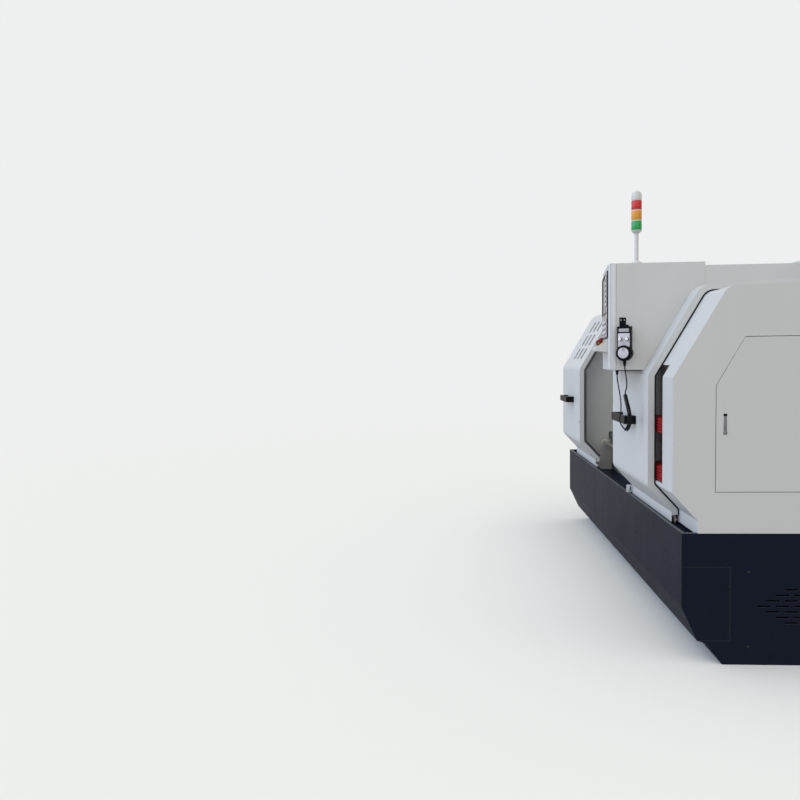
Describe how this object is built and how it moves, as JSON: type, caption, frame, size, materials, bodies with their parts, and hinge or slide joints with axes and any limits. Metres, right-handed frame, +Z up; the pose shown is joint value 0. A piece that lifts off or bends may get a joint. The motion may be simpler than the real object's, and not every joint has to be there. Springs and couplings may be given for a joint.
{
  "type": "cnc turning lathe",
  "caption": "Enclosed flat-bed turning lathe with sliding front doors, door-mounted control box, hand pendant, rear cabinet and signal lamp.",
  "frame": {"origin": "on the floor under the middle of the machine's bounding box", "axes": "+X to the operator's right along the spindle towards the tailstock, +Y from the operator to the back, +Z up"},
  "size_m": [3.24, 1.4354, 2.244],
  "materials": {
    "white_sheet": "light textured powder coat",
    "inner_sheet": "satin paint",
    "navy_sheet": "textured powder coat",
    "cast_grey": "painted casting",
    "ground_steel": "ground",
    "bright_steel": "polished",
    "red_rubber": "matt",
    "black_plastic": "fine grain",
    "grey_plastic": "fine grain",
    "red_plastic": "gloss",
    "green_plastic": "gloss",
    "clear_pane": "clear",
    "dark_glass": "gloss",
    "black_rubber": "matt",
    "lamp_plastic": "gloss",
    "motor_black": "painted"
  },
  "bodies": {
    "machine": {"base_frame": "navy_sheet", "corner_panel": "navy_sheet", "left_cover": "white_sheet", "right_cover": "white_sheet", "rear_guard": "inner_sheet", "stop_buffers": "red_rubber", "bed": "cast_grey", "headstock": "cast_grey", "spindle_motor": "motor_black", "drive_belt": "black_rubber", "z_servo_motor": "motor_black", "cabinet": "white_sheet", "heat_exchanger": "dark_glass", "coolant_tank": "navy_sheet"},
    "left_door": {"left_door": "white_sheet", "left_door_window": "clear_pane", "left_handle": "black_plastic"},
    "right_door": {"right_door": "white_sheet", "right_handle": "black_plastic", "console_box": "white_sheet", "control_unit": "black_plastic", "screen_glass": "dark_glass", "pendant_hook": "black_plastic", "pendant_body": "black_plastic", "cord_down": "black_rubber", "cord_coil": "black_rubber", "cord_up": "black_rubber", "cord_gland": "black_plastic", "lamp_tower": "lamp_plastic"},
    "left_roller_1": {"left_roller_1": "ground_steel"},
    "left_roller_2": {"left_roller_2": "ground_steel"},
    "right_roller_1": {"right_roller_1": "ground_steel"},
    "right_roller_2": {"right_roller_2": "ground_steel"},
    "access_door": {"access_door": "white_sheet"},
    "cabinet_door": {"cabinet_door": "white_sheet"},
    "main_switch": {"main_switch": "red_plastic"},
    "spindle": {"spindle": "ground_steel", "chuck_body": "bright_steel"},
    "motor_pulley": {"motor_pulley": "cast_grey"},
    "chuck_jaw_1": {"chuck_jaw_1": "ground_steel"},
    "chuck_jaw_2": {"chuck_jaw_2": "ground_steel"},
    "chuck_jaw_3": {"chuck_jaw_3": "ground_steel"},
    "z_screw": {"z_screw": "bright_steel"},
    "carriage": {"saddle": "cast_grey", "x_servo_motor": "motor_black"},
    "x_screw": {"x_screw": "bright_steel"},
    "cross_slide": {"cross_slide": "ground_steel", "tool_base": "cast_grey"},
    "tool_head": {"tool_head": "ground_steel"},
    "tailstock": {"tailstock_body": "cast_grey"},
    "quill": {"quill": "bright_steel"},
    "handwheel": {"handwheel": "bright_steel"},
    "clamp_lever": {"clamp_lever": "bright_steel"},
    "emergency_stop": {"emergency_stop": "red_plastic"},
    "start_button": {"start_button": "green_plastic"},
    "hold_button": {"hold_button": "red_plastic"},
    "feed_knob": {"feed_knob": "black_plastic"},
    "pendant_dial": {"pendant_dial": "grey_plastic"},
    "pendant_axis_knob": {"pendant_axis_knob": "black_plastic"},
    "pendant_step_knob": {"pendant_step_knob": "black_plastic"}
  },
  "joints": [
    {"name": "left_door_slide", "type": "slide", "parent": "machine", "child": "left_door", "axis": [1, 0, 0], "range_m": [0, 0.575]},
    {"name": "right_door_slide", "type": "slide", "parent": "machine", "child": "right_door", "axis": [-1, 0, 0], "range_m": [0, 0.575]},
    {"name": "left_roller_1_spin", "type": "hinge", "parent": "left_door", "child": "left_roller_1", "pos_m": [-1.39, -0.37, 0.6023], "axis": [0, 1, 0], "range_deg": [0, 2400]},
    {"name": "left_roller_2_spin", "type": "hinge", "parent": "left_door", "child": "left_roller_2", "pos_m": [-0.606, -0.37, 0.6023], "axis": [0, 1, 0], "range_deg": [0, 2400]},
    {"name": "right_roller_1_spin", "type": "hinge", "parent": "right_door", "child": "right_roller_1", "pos_m": [0.493, -0.355, 0.6023], "axis": [0, -1, 0], "range_deg": [0, 2400]},
    {"name": "right_roller_2_spin", "type": "hinge", "parent": "right_door", "child": "right_roller_2", "pos_m": [1.309, -0.355, 0.6023], "axis": [0, -1, 0], "range_deg": [0, 2400]},
    {"name": "access_door_hinge", "type": "hinge", "parent": "machine", "child": "access_door", "pos_m": [1.614, 0.26, 1.1455], "axis": [0, 0, 1], "range_deg": [0, 88]},
    {"name": "cabinet_door_hinge", "type": "hinge", "parent": "machine", "child": "cabinet_door", "pos_m": [0.11, 0.652, 1.175], "axis": [0, 0, 1], "range_deg": [0, 110]},
    {"name": "main_switch_turn", "type": "hinge", "parent": "cabinet_door", "child": "main_switch", "pos_m": [1.418, 0.674, 1.5], "axis": [0, 1, 0], "range_deg": [0, 90]},
    {"name": "spindle_spin", "type": "hinge", "parent": "machine", "child": "spindle", "pos_m": [-0.835, -0.035, 1.08], "axis": [1, 0, 0], "continuous": true},
    {"name": "motor_pulley_spin", "type": "hinge", "parent": "machine", "child": "motor_pulley", "pos_m": [-1.43, -0.035, 0.33], "axis": [1, 0, 0], "continuous": true},
    {"name": "jaw_1_slide", "type": "slide", "parent": "spindle", "child": "chuck_jaw_1", "axis": [0, 0, 1], "range_m": [-0.012, 0.014]},
    {"name": "jaw_2_slide", "type": "slide", "parent": "spindle", "child": "chuck_jaw_2", "axis": [0, -0.866, -0.5], "range_m": [-0.012, 0.014]},
    {"name": "jaw_3_slide", "type": "slide", "parent": "spindle", "child": "chuck_jaw_3", "axis": [0, 0.866, -0.5], "range_m": [-0.012, 0.014]},
    {"name": "carriage_slide", "type": "slide", "parent": "machine", "child": "carriage", "axis": [1, 0, 0], "range_m": [-0.7, 0.15]},
    {"name": "z_screw_turn", "type": "hinge", "parent": "machine", "child": "z_screw", "pos_m": [1.32, -0.265, 0.752], "axis": [1, 0, 0], "range_deg": [-25400, 5500]},
    {"name": "cross_slide_feed", "type": "slide", "parent": "carriage", "child": "cross_slide", "axis": [0, 1, 0], "range_m": [0, 0.12]},
    {"name": "x_screw_turn", "type": "hinge", "parent": "carriage", "child": "x_screw", "pos_m": [0.3, -0.035, 0.883], "axis": [0, 1, 0], "range_deg": [0, 8700]},
    {"name": "tool_head_index", "type": "hinge", "parent": "cross_slide", "child": "tool_head", "pos_m": [0.3, -0.17, 1], "axis": [0, 0, 1], "range_deg": [0, 270]},
    {"name": "tailstock_slide", "type": "slide", "parent": "machine", "child": "tailstock", "axis": [1, 0, 0], "range_m": [-0.1, 0.06]},
    {"name": "handwheel_turn", "type": "hinge", "parent": "tailstock", "child": "handwheel", "pos_m": [1.23, -0.035, 1.08], "axis": [1, 0, 0], "range_deg": [0, 8640]},
    {"name": "quill_slide", "type": "slide", "parent": "tailstock", "child": "quill", "axis": [-1, 0, 0], "range_m": [0, 0.121]},
    {"name": "clamp_lever_turn", "type": "hinge", "parent": "tailstock", "child": "clamp_lever", "pos_m": [0.99, -0.105, 1.06], "axis": [0, 1, 0], "range_deg": [0, 60]},
    {"name": "emergency_stop_press", "type": "slide", "parent": "right_door", "child": "emergency_stop", "axis": [0.0764, 0.5296, -0.8448], "range_m": [0, 0.005], "stiffness_N_per_m": 250, "springref_m": -0.004},
    {"name": "start_button_press", "type": "slide", "parent": "right_door", "child": "start_button", "axis": [0.0764, 0.5296, -0.8448], "range_m": [0, 0.004], "stiffness_N_per_m": 250, "springref_m": -0.004},
    {"name": "hold_button_press", "type": "slide", "parent": "right_door", "child": "hold_button", "axis": [0.0764, 0.5296, -0.8448], "range_m": [0, 0.004], "stiffness_N_per_m": 250, "springref_m": -0.004},
    {"name": "feed_knob_turn", "type": "hinge", "parent": "right_door", "child": "feed_knob", "pos_m": [0.91602, -0.64791, 1.481], "axis": [-0.0764, -0.5296, 0.8448], "range_deg": [-140, 140]},
    {"name": "pendant_dial_turn", "type": "hinge", "parent": "right_door", "child": "pendant_dial", "pos_m": [1.234, -0.58, 1.431], "axis": [0.866, -0.5, 0], "continuous": true},
    {"name": "pendant_axis_knob_turn", "type": "hinge", "parent": "right_door", "child": "pendant_axis_knob", "pos_m": [1.2255, -0.59472, 1.5], "axis": [0.866, -0.5, 0], "range_deg": [-60, 60]},
    {"name": "pendant_step_knob_turn", "type": "hinge", "parent": "right_door", "child": "pendant_step_knob", "pos_m": [1.2425, -0.56528, 1.5], "axis": [0.866, -0.5, 0], "range_deg": [-60, 60]}
  ],
  "couplings": [
    {"joint": "left_roller_1_spin", "follows": "left_door_slide", "rad_per_m": 71.429},
    {"joint": "right_roller_1_spin", "follows": "right_door_slide", "rad_per_m": 71.429},
    {"joint": "left_roller_2_spin", "follows": "left_door_slide", "rad_per_m": 71.429},
    {"joint": "right_roller_2_spin", "follows": "right_door_slide", "rad_per_m": 71.429},
    {"joint": "motor_pulley_spin", "follows": "spindle_spin", "ratio": 1.7143},
    {"joint": "jaw_2_slide", "follows": "jaw_1_slide", "ratio": 1},
    {"joint": "jaw_3_slide", "follows": "jaw_1_slide", "ratio": 1},
    {"joint": "z_screw_turn", "follows": "carriage_slide", "rad_per_m": 628.32},
    {"joint": "x_screw_turn", "follows": "cross_slide_feed", "rad_per_m": 1256.6},
    {"joint": "quill_slide", "follows": "handwheel_turn", "m_per_rad": 0.000796}
  ]
}
